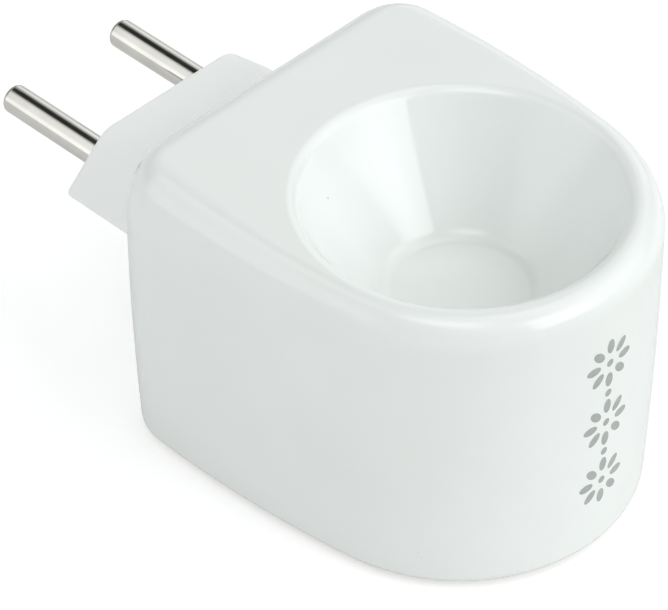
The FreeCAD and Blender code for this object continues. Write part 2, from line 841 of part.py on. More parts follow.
def out_of_crimp(name):
    """Two points on a crimp's axis: the lead's end inside the sleeve, and the end of its straight run."""
    end, way = crimp_places()[name]
    return [end - way * crimp_bite, end + way * lead_straight]


def out_of_terminal(x):
    """The same two points for the terminal on a pin's tail."""
    return [Vector(x, terminal_end_y + crimp_bite, plug_z), Vector(x, terminal_end_y - lead_straight, plug_z)]


def lead_neutral():
    """Lead from the right pin to the tab of the lower electrode."""
    return lead("lead_neutral", out_of_terminal(pin_x) + out_of_crimp("lower_tab")[::-1])


def lead_live():
    """Lead from the left pin to the rear wire of the fuse."""
    return lead("lead_live", out_of_terminal(-pin_x) + out_of_crimp("fuse_rear")[::-1])


def lead_fused():
    """Lead from the front wire of the fuse, round one corner, to the tab of the upper electrode."""
    start = out_of_crimp("fuse_front")[0]
    end = out_of_crimp("upper_tab")[0]
    return lead("lead_fused", [start, Vector(start.x, end.y, start.z), end])


pieces = {
    "ceramic_body": ceramic_body(),
    "plug_body": plug_body(),
    "plug_pin_left": plug_pin(-pin_x),
    "plug_pin_right": plug_pin(pin_x),
    "plug_gasket": plug_gasket(),
    "plug_bracket": plug_bracket(),
    "base_cover": base_cover(),
    "base_screws": base_screws(),
    "boss_nut": boss_nut(),
    "rubber_feet": rubber_feet(),
    "thermal_pad": thermal_pad(),
    "heat_spreader": heat_spreader(),
    "mica_sheet": mica_sheet(),
    "electrode_upper": electrode_upper(),
    "ptc_disc": ptc_disc(),
    "electrode_lower": electrode_lower(),
    "heater_cup": heater_cup(),
    "leaf_spring": leaf_spring(),
    "thermal_fuse": thermal_fuse(),
    "fuse_sleeve": fuse_sleeve(),
    "fuse_clip": fuse_clip(),
    "pin_terminals": pin_terminals(),
    "lead_crimps": lead_crimps(),
    "lead_live": lead_live(),
    "lead_fused": lead_fused(),
    "lead_neutral": lead_neutral(),
}

os.makedirs("parts", exist_ok=True)
for name, shape in pieces.items():
    shape.exportStep("parts/" + name + ".step")
    box = shape.BoundBox
    low = (round(box.XMin, 2), round(box.YMin, 2), round(box.ZMin, 2))
    high = (round(box.XMax, 2), round(box.YMax, 2), round(box.ZMax, 2))
    print(name, shape.isValid(), len(shape.Solids), round(shape.Volume, 1), low, high)
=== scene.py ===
import math

import bpy
import numpy as np
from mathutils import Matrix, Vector


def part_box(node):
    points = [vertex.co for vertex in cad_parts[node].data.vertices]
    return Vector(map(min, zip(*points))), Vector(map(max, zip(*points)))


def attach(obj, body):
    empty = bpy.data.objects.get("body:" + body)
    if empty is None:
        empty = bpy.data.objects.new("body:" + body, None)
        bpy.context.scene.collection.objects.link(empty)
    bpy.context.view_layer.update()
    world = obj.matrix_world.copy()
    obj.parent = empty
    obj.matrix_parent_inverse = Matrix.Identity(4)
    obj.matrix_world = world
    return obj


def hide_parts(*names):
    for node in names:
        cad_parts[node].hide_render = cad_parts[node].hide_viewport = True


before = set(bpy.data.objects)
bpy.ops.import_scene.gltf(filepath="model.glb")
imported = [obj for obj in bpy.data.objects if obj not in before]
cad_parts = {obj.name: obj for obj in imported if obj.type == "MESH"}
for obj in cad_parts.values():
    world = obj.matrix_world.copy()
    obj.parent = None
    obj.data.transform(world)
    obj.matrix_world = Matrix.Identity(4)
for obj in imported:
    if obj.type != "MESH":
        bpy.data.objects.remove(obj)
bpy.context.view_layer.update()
scene = bpy.context.scene

# Camera
# A long lens, far off, looking down on the warmer from its front left corner. It looks at a point a little
# to the left of the body's middle, so that the bowl lies right of the centre of the picture.
camera_azimuth = math.radians(-45.54)
camera_elevation = math.radians(41.72)
camera_distance = 0.610
camera_target = Vector((-0.0151, -0.0162, 0.0315))
sensor_width = 36.0
focal_pixels = 5020.0
frame_pixels = 668.0
clip_near = 0.01
clip_far = 20.0

camera = bpy.data.objects.new("camera", bpy.data.cameras.new("camera"))
camera.data.sensor_width = sensor_width
camera.data.lens = focal_pixels / frame_pixels * sensor_width
camera_back = Vector((
    math.sin(camera_azimuth) * math.cos(camera_elevation),
    -math.cos(camera_azimuth) * math.cos(camera_elevation),
    math.sin(camera_elevation),
))
camera.location = camera_target + camera_back * camera_distance
camera.rotation_mode = "QUATERNION"
camera.rotation_quaternion = (-camera_back).to_track_quat("-Z", "Y")
camera.data.clip_start = clip_near
camera.data.clip_end = clip_far
scene.collection.objects.link(camera)
scene.camera = camera

# Studio
# A pale table in a dim room with soft lamps all round. A softbox stands low in front, and the bowl's glaze
# mirrors its crisp left end. A dark opening overhead is what the pins mirror as a thin line.
scene.view_settings.view_transform = "Standard"
floor_half_width = 3.0
floor_color = (0.80, 0.80, 0.80, 1.0)
floor_glow = 0.06
floor_backlight = 0.36
room_color = (0.985, 1.0, 0.995, 1.0)
room_level = 0.405
softbox_left = math.radians(-10.0)
softbox_left_edge = math.radians(0.8)
softbox_right = math.radians(6.0)
softbox_right_edge = math.radians(34.0)
softbox_low = math.radians(5.0)
softbox_high = math.radians(48.0)
softbox_edge = math.radians(5.0)
softbox_level = 1.9
wide_lamp = math.radians(38.7)
narrow_lamp = math.radians(22.3)
soft_lamps = (
    {"azimuth": -120.0, "elevation": 8.0, "reach": wide_lamp, "level": 1.06},
    {"azimuth": 38.0, "elevation": 30.0, "reach": wide_lamp, "level": 1.24},
    {"azimuth": 90.0, "elevation": 58.0, "reach": wide_lamp, "level": 0.85},
    {"azimuth": 120.0, "elevation": 20.0, "reach": narrow_lamp, "level": 0.80},
    {"azimuth": -143.0, "elevation": 48.0, "reach": narrow_lamp, "level": 0.75},
    {"azimuth": -30.0, "elevation": 38.0, "reach": narrow_lamp, "level": 0.20},
    {"azimuth": -60.0, "elevation": 62.0, "reach": narrow_lamp, "level": 1.70},
)
opening_way = (0.27, 0.46, 0.846)
opening_share = 0.93
opening_start = 0.945
opening_end = 0.96


def new_nodes(tree):
    """Empties a node tree and returns a function that adds a node with its values and its links."""
    tree.nodes.clear()

    def add(kind, values=None, settings=None, **links):
        node = tree.nodes.new(kind)
        for key, value in (settings or {}).items():
            setattr(node, key, value)
        for key, value in (values or {}).items():
            node.inputs[key].default_value = value
        for key, source in links.items():
            tree.links.new(source, node.inputs[key.replace("_", " ")])
        return node

    return add


def link(source, target):
    """Links two sockets of one tree."""
    source.id_data.links.new(source, target)


def math_node(add, operation, first, second=None):
    """One Math node, whose inputs are sockets or numbers. It returns its output socket."""
    node = add("ShaderNodeMath", settings={"operation": operation})
    for index, value in enumerate((first, second)):
        if isinstance(value, bpy.types.NodeSocket):
            link(value, node.inputs[index])
        elif value is not None:
            node.inputs[index].default_value = value
    return node.outputs[0]


def smooth_step(add, value, start, end):
    """0 before start, 1 after end, and a smooth rise between them."""
    limits = {"From Min": start, "From Max": end}
    node = add("ShaderNodeMapRange", limits, {"interpolation_type": "SMOOTHSTEP"})
    link(value, node.inputs["Value"])
    return node.outputs["Result"]


world = bpy.data.worlds.new("white_room")
world.use_nodes = True
add = new_nodes(world.node_tree)
way = add("ShaderNodeTexCoord").outputs["Generated"]
apart = add("ShaderNodeSeparateXYZ", Vector=way).outputs
azimuth = math_node(add, "ARCTAN2", apart["X"], math_node(add, "MULTIPLY", apart["Y"], -1.0))
elevation = math_node(add, "ARCSINE", apart["Z"])
level = room_level
for lamp in soft_lamps:
    turn, rise = math.radians(lamp["azimuth"]), math.radians(lamp["elevation"])
    lamp_way = (math.sin(turn) * math.cos(rise), -math.cos(turn) * math.cos(rise), math.sin(rise))
    toward = add("ShaderNodeVectorMath", {1: lamp_way}, {"operation": "DOT_PRODUCT"})
    link(way, toward.inputs[0])
    light = smooth_step(add, toward.outputs["Value"], math.cos(lamp["reach"]), 1.0)
    level = math_node(add, "ADD", level, math_node(add, "MULTIPLY", light, lamp["level"]))
light = smooth_step(add, azimuth, softbox_left, softbox_left + softbox_left_edge)
for edge_share in (
    smooth_step(add, azimuth, softbox_right + softbox_right_edge, softbox_right),
    smooth_step(add, elevation, softbox_low, softbox_low + softbox_edge),
    smooth_step(add, elevation, softbox_high + softbox_edge, softbox_high),
):
    light = math_node(add, "MULTIPLY", light, edge_share)
level = math_node(add, "ADD", level, math_node(add, "MULTIPLY", light, softbox_level))
toward = add("ShaderNodeVectorMath", {1: opening_way}, {"operation": "DOT_PRODUCT"})
link(way, toward.inputs[0])
inside = smooth_step(add, toward.outputs["Value"], opening_start, opening_end)
kept = math_node(add, "SUBTRACT", 1.0, math_node(add, "MULTIPLY", inside, opening_share))
level = math_node(add, "MULTIPLY", level, kept)
seen = add("ShaderNodeLightPath").outputs["Is Camera Ray"]
strength = add("ShaderNodeMix", {"B": 1.0}, {"data_type": "FLOAT"}, Factor=seen, A=level)
background = add("ShaderNodeBackground", {"Color": room_color}, Strength=strength.outputs["Result"])
add("ShaderNodeOutputWorld", Surface=background.outputs["Background"])
scene.world = world

# The table glows a little of itself, and more towards the camera, so that it comes out white. It is clear
# when it is seen from below.
floor_mesh = bpy.data.meshes.new("table_top")
floor_corners = np.array([(-1, -1, 0), (1, -1, 0), (1, 1, 0), (-1, 1, 0)]) * floor_half_width
floor_mesh.from_pydata(floor_corners.tolist(), [], [(0, 1, 2, 3)])
floor = bpy.data.objects.new("table_top", floor_mesh)
scene.collection.objects.link(floor)
floor_material = bpy.data.materials.new("pale_table")
floor_material.use_nodes = True
add = new_nodes(floor_material.node_tree)
paper = add("ShaderNodeBsdfDiffuse", {"Color": floor_color})
seen = math_node(add, "MULTIPLY", add("ShaderNodeLightPath").outputs["Is Camera Ray"], floor_backlight)
seen = math_node(add, "ADD", seen, floor_glow)
glow = add("ShaderNodeEmission", Strength=seen)
lit = add("ShaderNodeAddShader")
link(paper.outputs["BSDF"], lit.inputs[0])
link(glow.outputs["Emission"], lit.inputs[1])
pick = add("ShaderNodeMixShader", Fac=add("ShaderNodeNewGeometry").outputs["Backfacing"])
link(lit.outputs["Shader"], pick.inputs[1])
link(add("ShaderNodeBsdfTransparent").outputs["BSDF"], pick.inputs[2])
add("ShaderNodeOutputMaterial", Surface=pick.outputs["Shader"])
floor_mesh.materials.append(floor_material)

# Porcelain body
# One slip-cast piece of white porcelain under a clear glossy glaze: soft shoulders round a level top, a
# conical bowl with a rolled rim, and an open underside. The plug comes out of a hexagonal hole in the back.
front_radius = 0.0246
side_swell = 0.0018
side_radius = 0.155
bowl_setback = 0.037
back_corner_radius = 0.009
wall = 0.0034
base_draw_in = 0.001
base_edge_radius = 0.0016
shoulder_widths = {"front": 0.0029, "side": 0.0040, "back": 0.0057}
shoulder_front_drop = 0.0032
shoulder_back_drop = 0.0100
shoulder_corner_share = 0.66
rim_land = 0.0002
rim_roll_radius = 0.0018
bowl_depth = 0.0155
bowl_floor_radius = 0.0100
bowl_cove_radius = 0.0030
bowl_wall = 0.0032
bowl_wall_radius = 0.080
back_points = 14
corner_points = 20
side_points = 40
front_points = 56
base_edge_rings = 9
wall_rings = 26
shoulder_rings = 25
land_rings = 14
roof_rings = 40
bowl_arc_points = 24
cove_points = 14
floor_points = 10

body_low, body_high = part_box("ceramic_body")
rim_z = body_high.z
base_z = body_low.z
back_y = body_high.y
bowl_y = back_y - bowl_setback
front_y = bowl_y - front_radius
body_half_width = front_radius + side_swell
crest_radius = front_radius - shoulder_widths["front"] - rim_land
bowl_floor_z = rim_z - bowl_depth
bowl_under_z = bowl_floor_z - bowl_wall


def arc(x, y, radius, start, end, count, closed=True):
    """Points on an arc about x and y in a plane, from one angle to another, with or without the last one."""
    turn = np.linspace(start, end, count, endpoint=closed)
    return np.stack([x + radius * np.cos(turn), y + radius * np.sin(turn)], 1)


def plan_ring(front, side, back, corner):
    """One closed outline of the body seen from above, moved in by the three insets: points on the straight
    back, the corner arc, the side arc and the front arc, each tangent to the next, then mirrored in x."""
    radius = front_radius - front
    half = body_half_width - side
    far_y = back_y - back
    side_y = bowl_y + math.sqrt((side_radius - radius) ** 2 - (side_radius - half) ** 2)
    side_x = half - side_radius
    corner_y = far_y - corner
    corner_x = side_x + math.sqrt((side_radius - corner) ** 2 - (corner_y - side_y) ** 2)
    corner_angle = math.atan2(corner_y - side_y, corner_x - side_x)
    front_angle = math.atan2(bowl_y - side_y, -side_x)
    straight = np.linspace(0, corner_x, back_points, endpoint=False)
    half_ring = np.concatenate([
        np.stack([straight, np.full_like(straight, far_y)], 1),
        arc(corner_x, corner_y, corner, math.pi / 2, corner_angle, corner_points, False),
        arc(side_x, side_y, side_radius, corner_angle, front_angle, side_points, False),
        arc(0, bowl_y, radius, front_angle, -math.pi / 2, front_points, False),
    ])
    tip = np.array([[0, bowl_y - radius]])
    mirrored = half_ring[:0:-1] * (-1, 1)
    return np.concatenate([half_ring, tip, mirrored])


def leaning(ring, front_z, back_z):
    """A ring lifted into a plane that rises evenly from the body's front to its back."""
    share = (ring[:, 1] - front_y) / (back_y - front_y)
    return np.column_stack([ring, front_z + (back_z - front_z) * share])


def body_rings(inset, low_z, edge_radius):
    """The rings of the body's outside, moved in by inset: a quarter circle at the base, walls that draw in
    along a parabola, and a shoulder whose sections are quarter ellipses, wider and deeper at the back."""
    top_z = rim_z - inset
    corner = back_corner_radius - inset
    front_top = top_z - shoulder_front_drop
    back_top = top_z - shoulder_back_drop
    rings = []
    for turn in np.linspace(math.pi / 2, 0, base_edge_rings, endpoint=False):
        move = base_draw_in + edge_radius * (1 - math.cos(turn))
        level = low_z + edge_radius * (1 - math.sin(turn))
        ring = plan_ring(inset + move, inset + move, inset + move, corner - move)
        rings.append(leaning(ring, level, level))
    for down in np.linspace(1, 0, wall_rings, endpoint=False):
        move = base_draw_in * down ** 2
        low = low_z + edge_radius
        ring = plan_ring(inset + move, inset + move, inset + move, corner - move)
        front_level = front_top + (low - front_top) * down
        rings.append(leaning(ring, front_level, back_top + (low - back_top) * down))
    for turn in np.linspace(0, math.pi / 2, shoulder_rings):
        across = 1 - math.cos(turn)
        below = 1 - math.sin(turn)
        ring = plan_ring(
            inset + shoulder_widths["front"] * across,
            inset + shoulder_widths["side"] * across,
            inset + shoulder_widths["back"] * across,
            corner * (1 - shoulder_corner_share * across),
        )
        rings.append(leaning(ring, top_z - shoulder_front_drop * below, top_z - shoulder_back_drop * below))
    return np.array(rings)


def bowl_slope():
    """The mean angle of the bowl's wall above level: a straight line that is tangent to the rolled rim and
    runs to the edge of the floor."""
    across = crest_radius - bowl_floor_radius
    up = bowl_depth - rim_roll_radius
    return math.atan2(up, across) + math.asin(rim_roll_radius / math.hypot(across, up))


def bowl_profile():
    """The bowl's section as radius and height, from the rim's crest to the floor: an arc of the rolled rim,
    the slightly hollow wall, a cove and the flat floor. The wall's long arc is tangent to the rim's arc and
    to the cove's, so its centre lies where two circles about their centres cross."""
    slope = bowl_slope()
    rim_centre = np.array([crest_radius, rim_z - rim_roll_radius])
    floor_reach = bowl_floor_radius - bowl_cove_radius * math.tan(slope / 2)
    cove_centre = np.array([floor_reach, bowl_floor_z + bowl_cove_radius])
    rim_gap = bowl_wall_radius + rim_roll_radius
    cove_gap = bowl_wall_radius - bowl_cove_radius
    apart = cove_centre - rim_centre
    span = np.hypot(*apart)
    along = (rim_gap ** 2 - cove_gap ** 2 + span ** 2) / (2 * span)
    across = math.sqrt(rim_gap ** 2 - along ** 2)
    way = apart / span
    wall_centre = rim_centre + way * along + np.array([way[1], -way[0]]) * across
    top_way = (rim_centre - wall_centre) / rim_gap
    low_way = (cove_centre - wall_centre) / cove_gap
    top_turn = math.atan2(top_way[1], top_way[0])
    low_turn = math.atan2(low_way[1], low_way[0])
    floor = np.linspace(floor_reach, 0, floor_points)[1:-1]
    return np.concatenate([
        arc(*rim_centre, rim_roll_radius, math.pi / 2, top_turn + math.pi, bowl_arc_points),
        arc(*wall_centre, bowl_wall_radius, top_turn, low_turn, bowl_arc_points)[1:-1],
        arc(*cove_centre, bowl_cove_radius, low_turn, -math.pi / 2, cove_points),
        np.stack([floor, np.full_like(floor, bowl_floor_z)], 1),
    ])


def circles(profile, ways):
    """A ring for each point of a profile of radius and height, with points in the given plan directions."""
    radius = profile[:, 0][:, None, None]
    flat = np.array([0, bowl_y]) + radius * ways[None]
    height = np.broadcast_to(profile[:, 1][:, None, None], flat.shape[:2] + (1,))
    return np.concatenate([flat, height], 2)


def closed_skins(name, skins):
    """One mesh of closed skins. The axes of skins are skin, ring, point and coordinate: quads run through
    each skin's rings, and its first and last ring are drawn together to their middle points. The faces are
    turned over where the volume that they enclose comes out negative."""
    count, rows, columns = skins.shape[:3]
    points = np.concatenate([skins.reshape(count, -1, 3), skins[:, :1].mean(2), skins[:, -1:].mean(2)], 1)
    index = np.arange(rows * columns).reshape(rows, columns)
    following = np.roll(index, -1, axis=1)
    quads = np.stack([index[:-1], following[:-1], following[1:], index[1:]], 2).reshape(-1, 4)
    first, last = rows * columns, rows * columns + 1
    caps = np.concatenate([
        np.stack([np.full(columns, first), following[0], index[0]], 1),
        np.stack([np.full(columns, last), index[-1], following[-1]], 1),
    ])
    start = np.arange(count)[:, None, None] * points.shape[1]
    quads = (quads + start).reshape(-1, 4)
    caps = (caps + start).reshape(-1, 3)
    points = points.reshape(-1, 3)
    corner = points[quads]
    volume = np.einsum("ij,ij->", np.cross(corner[:, 0], corner[:, 1]), corner[:, 2])
    volume += np.einsum("ij,ij->", np.cross(corner[:, 0], corner[:, 2]), corner[:, 3])
    if volume < 0:
        quads = quads[:, ::-1]
        caps = caps[:, ::-1]
    mesh = bpy.data.meshes.new(name)
    mesh.from_pydata(points.tolist(), [], quads.tolist() + caps.tolist())
    mesh.update()
    return mesh


def closed_skin(name, rings):
    """One closed skin through rows of rings."""
    return closed_skins(name, rings[None])


def show(name, mesh, material, crease, stands_for=None):
    """Puts a finished mesh into the scene as a piece: smooth up to a crease angle in degrees, riding on the
    part's one body, and standing for the named node of the frame where there is one."""
    mesh.shade_smooth()
    mesh.set_sharp_from_angle(angle=math.radians(crease))
    mesh.materials.append(material)
    piece = bpy.data.objects.new(name, mesh)
    scene.collection.objects.link(piece)
    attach(piece, "root")
    if stands_for:
        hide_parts(stands_for)


def porcelain_mesh():
    """The whole casting as one closed skin: down the inside from the cavity's roof to the base, out round
    the base, up the outside and over the shoulder, along the level top, and down the bowl to its floor. The
    roof runs one wall below the top, and lower where the bowl's floor and wall hang down into the cavity."""
    outside = body_rings(0, base_z, base_edge_radius)
    slope = bowl_slope()
    edge = outside[-1, :, :2] - (0, bowl_y)
    ways = edge / np.linalg.norm(edge, axis=1)[:, None]
    bowl = circles(bowl_profile(), ways)
    t = np.linspace(0, 1, land_rings)[1:-1, None, None]
    land = outside[-1] * (1 - t) + bowl[0] * t

    inside = body_rings(wall, base_z, 0)[base_edge_rings:]
    roof = inside[-1]
    middle = np.array([0, bowl_y, rim_z - wall])
    t = np.linspace(0, 1, roof_rings)[1:-1, None, None]
    inside = np.concatenate([inside, roof * (1 - t) + middle * t])
    radius = np.hypot(inside[..., 0], inside[..., 1] - bowl_y)
    under_radius = bowl_floor_radius + bowl_wall * math.tan(slope / 2)
    under = bowl_under_z + np.maximum(radius - under_radius, 0) * math.tan(slope)
    inside[..., 2] = np.minimum(inside[..., 2], under)
    return closed_skin("porcelain_body", np.concatenate([inside[::-1], outside, land, bowl]))


plug_width = 0.0360
plug_height = 0.0133
plug_end_run = 0.0069
plug_edge_radius = 0.0038
plug_point_radius = 0.0005
plug_axis_height = 0.0233
plug_opening_clearance = 0.00025
plug_flange_width = 0.0016
plug_seat_depth = 0.0007
plug_seat_clearance = 0.00035
plug_corner_points = 13
plug_z = base_z + plug_axis_height
plug_seat_y = back_y - wall + plug_seat_depth


def hexagon_ring(margin):
    """The plug's long hexagon in the plane y = 0, larger all round by margin: each corner is an arc that is
    tangent to its two sides."""
    half = plug_width / 2 + margin
    tall = plug_height / 2 + margin
    shoulder = plug_width / 2 - plug_end_run + margin * plug_height / plug_width
    corners = np.array([
        (half, 0), (shoulder, tall), (-shoulder, tall), (-half, 0), (-shoulder, -tall), (shoulder, -tall),
    ])
    radii = np.array([plug_point_radius, plug_edge_radius, plug_edge_radius] * 2)[:, None]
    before = np.roll(corners, 1, axis=0) - corners
    after = np.roll(corners, -1, axis=0) - corners
    before /= np.linalg.norm(before, axis=1)[:, None]
    after /= np.linalg.norm(after, axis=1)[:, None]
    half_angle = np.arccos((before * after).sum(1))[:, None] / 2
    inward = before + after
    inward /= np.linalg.norm(inward, axis=1)[:, None]
    centre = corners + inward * radii / np.sin(half_angle)
    start = corners + before * radii / np.tan(half_angle) - centre
    turn = (math.pi - 2 * half_angle) * np.linspace(0, 1, plug_corner_points)[None]
    spun = np.stack([
        start[:, :1] * np.cos(turn) - start[:, 1:] * np.sin(turn),
        start[:, :1] * np.sin(turn) + start[:, 1:] * np.cos(turn),
    ], 2)
    flat = (centre[:, None] + spun).reshape(-1, 2)
    return np.column_stack([flat[:, 0], np.zeros(len(flat)), plug_z + flat[:, 1]])


def hexagon_prism(name, margin, low_y, high_y):
    """A closed length of the plug's hexagon, used to cut the opening for it."""
    ring = hexagon_ring(margin)
    return closed_skin(name, np.array([ring + (0, low_y, 0), ring + (0, high_y, 0)]))


boss_hole_radius = 0.0015
boss_height = 0.0111
boss_reach = 0.0041
boss_bite = 0.0006
boss_points = 48
cover_thickness = 0.0022
overrun = 0.002


def upright_cylinder(name, radius, x, y, low_z, high_z):
    """A closed upright cylinder."""
    ring = np.pad(arc(x, y, radius, 0, 2 * math.pi, boss_points, False), ((0, 0), (0, 1)))
    return closed_skin(name, np.array([ring + (0, 0, low_z), ring + (0, 0, high_z)]))


def combined(mesh, operation, tool):
    """The mesh joined with a tool's mesh (UNION) or cut by it (DIFFERENCE), as a new mesh."""
    body = bpy.data.objects.new("casting", mesh)
    cutter = bpy.data.objects.new("cutter", tool)
    scene.collection.objects.link(body)
    scene.collection.objects.link(cutter)
    step = body.modifiers.new("step", "BOOLEAN")
    step.operation = operation
    step.object = cutter
    step.solver = "EXACT"
    bpy.context.view_layer.update()
    made = bpy.data.meshes.new_from_object(body.evaluated_get(bpy.context.evaluated_depsgraph_get()))
    bpy.data.objects.remove(body)
    bpy.data.objects.remove(cutter)
    return made


# The three screw bosses are joined to the casting, and then their holes, the plug's opening and the seat of
# the plug's flange are cut.
body_mesh = porcelain_mesh()
boss_low_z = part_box("base_cover")[0].z + cover_thickness
boss_top_z = boss_low_z + boss_height
corner_shift = (back_corner_radius - wall - boss_reach) / math.sqrt(2)
rear_x = body_half_width - back_corner_radius + corner_shift
rear_y = back_y - back_corner_radius + corner_shift
boss_places = [(rear_x, rear_y), (-rear_x, rear_y), (0.0, front_y + wall + boss_reach)]
for x, y in boss_places:
    boss = upright_cylinder("boss", boss_reach + boss_bite, x, y, boss_low_z, boss_top_z)
    body_mesh = combined(body_mesh, "UNION", boss)
for x, y in boss_places:
    hole = upright_cylinder("hole", boss_hole_radius, x, y, boss_low_z - overrun, boss_top_z + overrun)
    body_mesh = combined(body_mesh, "DIFFERENCE", hole)
opening = hexagon_prism("opening", plug_opening_clearance, back_y - wall - overrun, back_y + overrun)
body_mesh = combined(body_mesh, "DIFFERENCE", opening)
seat_margin = plug_flange_width + plug_seat_clearance
seat = hexagon_prism("seat", seat_margin, plug_seat_y - wall, plug_seat_y)
body_mesh = combined(body_mesh, "DIFFERENCE", seat)

# The glaze is white with a faint green cast, and the specks are iron spots in a few cells of a cell pattern.
glaze_pale = (0.868, 0.896, 0.885, 1.0)
glaze_deep = (0.842, 0.873, 0.854, 1.0)
glaze_pooled = (0.845, 0.870, 0.829, 1.0)
glaze_speck = (0.42, 0.40, 0.34, 1.0)
bare_clay = (0.80, 0.78, 0.72, 1.0)
glaze_gloss = (0.07225, 0.10625)
glaze_gloss_scale = 260.0
glaze_ior = 1.65
glaze_wave_scale = 105.0
glaze_wave_height = 0.00008
glaze_tone_scale = 42.0
pool_height = bowl_cove_radius * 1.6
pool_radius = bowl_floor_radius * 1.4
pool_strength = 0.35
speck_scale = 150.0
speck_radius = 0.022
speckless_share = 0.86
speck_strength = 0.55
bare_roughness = 0.75
bare_rim_height = 0.0005
bare_edge_height = bare_rim_height / 3


def effect(name, inputs, outputs):
    """A node group with named inputs, as numbers, vectors or colours, and named outputs. It returns the
    group, a function that adds a node to it, its input sockets and its output sockets."""
    tree = bpy.data.node_groups.new(name, "ShaderNodeTree")
    kinds = {1: "NodeSocketFloat", 3: "NodeSocketVector", 4: "NodeSocketColor"}
    for label, value in inputs.items():
        kind = kinds[np.size(value)]
        tree.interface.new_socket(name=label, in_out="INPUT", socket_type=kind).default_value = value
    for label, kind in outputs.items():
        tree.interface.new_socket(name=label, in_out="OUTPUT", socket_type="NodeSocket" + kind)
    add = new_nodes(tree)
    return tree, add, add("NodeGroupInput").outputs, add("NodeGroupOutput").inputs


def mixed(add, factor, first, second):
    """The colour between two colours, which are sockets or values."""
    node = add("ShaderNodeMix", settings={"data_type": "RGBA"})
    for label, value in (("Factor", factor), ("A", first), ("B", second)):
        socket = next(s for s in node.inputs if s.name == label and s.enabled)
        if isinstance(value, bpy.types.NodeSocket):
            link(value, socket)
        else:
            socket.default_value = value
    return next(s for s in node.outputs if s.enabled)


uneven_tone, add, given, out = effect(
    "uneven_tone",
    {"Scale": 100.0, "Pale": (0.8, 0.8, 0.8, 1.0), "Dark": (0.7, 0.7, 0.7, 1.0)},
    {"Color": "Color"},
)
noise = add("ShaderNodeTexNoise", {"Detail": 3.0, "Roughness": 0.55})
link(add("ShaderNodeTexCoord").outputs["Object"], noise.inputs["Vector"])
link(given["Scale"], noise.inputs["Scale"])
share = add("ShaderNodeMapRange", {"From Min": 0.32, "From Max": 0.68}, Value=noise.outputs[0])
link(mixed(add, share.outputs["Result"], given["Pale"], given["Dark"]), out["Color"])

uneven_gloss, add, given, out = effect(
    "uneven_gloss",
    {"Scale": 300.0, "Low": 0.3, "High": 0.4},
    {"Roughness": "Float"},
)
noise = add("ShaderNodeTexNoise", {"Detail": 4.0, "Roughness": 0.6})
link(add("ShaderNodeTexCoord").outputs["Object"], noise.inputs["Vector"])
link(given["Scale"], noise.inputs["Scale"])
level = add("ShaderNodeMapRange", {"From Min": 0.3, "From Max": 0.7}, Value=noise.outputs[0])
link(given["Low"], level.inputs["To Min"])
link(given["High"], level.inputs["To Max"])
link(level.outputs["Result"], out["Roughness"])


def group_node(add, tree, **values):
    """One use of an effect, with its own values."""
    node = add("ShaderNodeGroup", settings={"node_tree": tree})
    for label, value in values.items():
        node.inputs[label].default_value = value
    return node.outputs


def new_material(name, fixed, driven):
    """A material with one Principled shader: fixed values on its sockets, and sockets by name that
    driven(add) gives."""
    made = bpy.data.materials.new(name)
    made.use_nodes = True
    add = new_nodes(made.node_tree)
    shader = add("ShaderNodeBsdfPrincipled", fixed)
    for label, source in driven(add).items():
        link(source, shader.inputs[label])
    add("ShaderNodeOutputMaterial", Surface=shader.outputs["BSDF"])
    return made


def glaze_nodes(add):
    """White clay under glaze: slightly uneven tone, creamier where the glaze pooled in the bowl's cove, a
    few specks, gentle waves, and a bare clay ring under the base where the glaze was wiped off."""
    tone = group_node(add, uneven_tone, Scale=glaze_tone_scale, Pale=glaze_pale, Dark=glaze_deep)
    place = add("ShaderNodeTexCoord").outputs["Object"]
    apart = add("ShaderNodeSeparateXYZ", Vector=place).outputs
    pool = add("ShaderNodeMapRange", {
        "From Min": bowl_floor_z + pool_height, "From Max": bowl_floor_z, "To Max": pool_strength,
    }, Value=apart["Z"]).outputs["Result"]
    across = math_node(add, "POWER", apart["X"], 2.0)
    along = math_node(add, "POWER", math_node(add, "SUBTRACT", apart["Y"], bowl_y), 2.0)
    radius = math_node(add, "SQRT", math_node(add, "ADD", across, along))
    inside = math_node(add, "LESS_THAN", radius, pool_radius)
    above = math_node(add, "GREATER_THAN", apart["Z"], bowl_floor_z - bowl_wall / 2)
    pool = math_node(add, "MULTIPLY", pool, math_node(add, "MULTIPLY", inside, above))
    color = mixed(add, pool, tone["Color"], glaze_pooled)
    cells = add("ShaderNodeTexVoronoi", {"Scale": speck_scale}, Vector=place)
    near = math_node(add, "LESS_THAN", cells.outputs["Distance"], speck_radius)
    chosen = add("ShaderNodeSeparateColor", Color=cells.outputs["Color"]).outputs["Red"]
    speck = math_node(add, "MULTIPLY", near, math_node(add, "GREATER_THAN", chosen, speckless_share))
    color = mixed(add, math_node(add, "MULTIPLY", speck, speck_strength), color, glaze_speck)
    bare = add("ShaderNodeMapRange", {
        "From Min": base_z + bare_rim_height, "From Max": base_z + bare_edge_height,
    }, Value=apart["Z"]).outputs["Result"]
    color = mixed(add, bare, color, bare_clay)
    gloss = group_node(add, uneven_gloss, Scale=glaze_gloss_scale, Low=glaze_gloss[0], High=glaze_gloss[1])
    rough = add("ShaderNodeMapRange", {"To Max": bare_roughness}, Value=bare)
    link(gloss["Roughness"], rough.inputs["To Min"])
    soft = {"Scale": glaze_wave_scale, "Detail": 1.5, "Roughness": 0.35}
    waves = add("ShaderNodeTexNoise", soft, Vector=place)
    normal = add("ShaderNodeBump", {"Distance": glaze_wave_height}, Height=waves.outputs[0])
    return {"Base Color": color, "Roughness": rough.outputs["Result"], "Normal": normal.outputs["Normal"]}


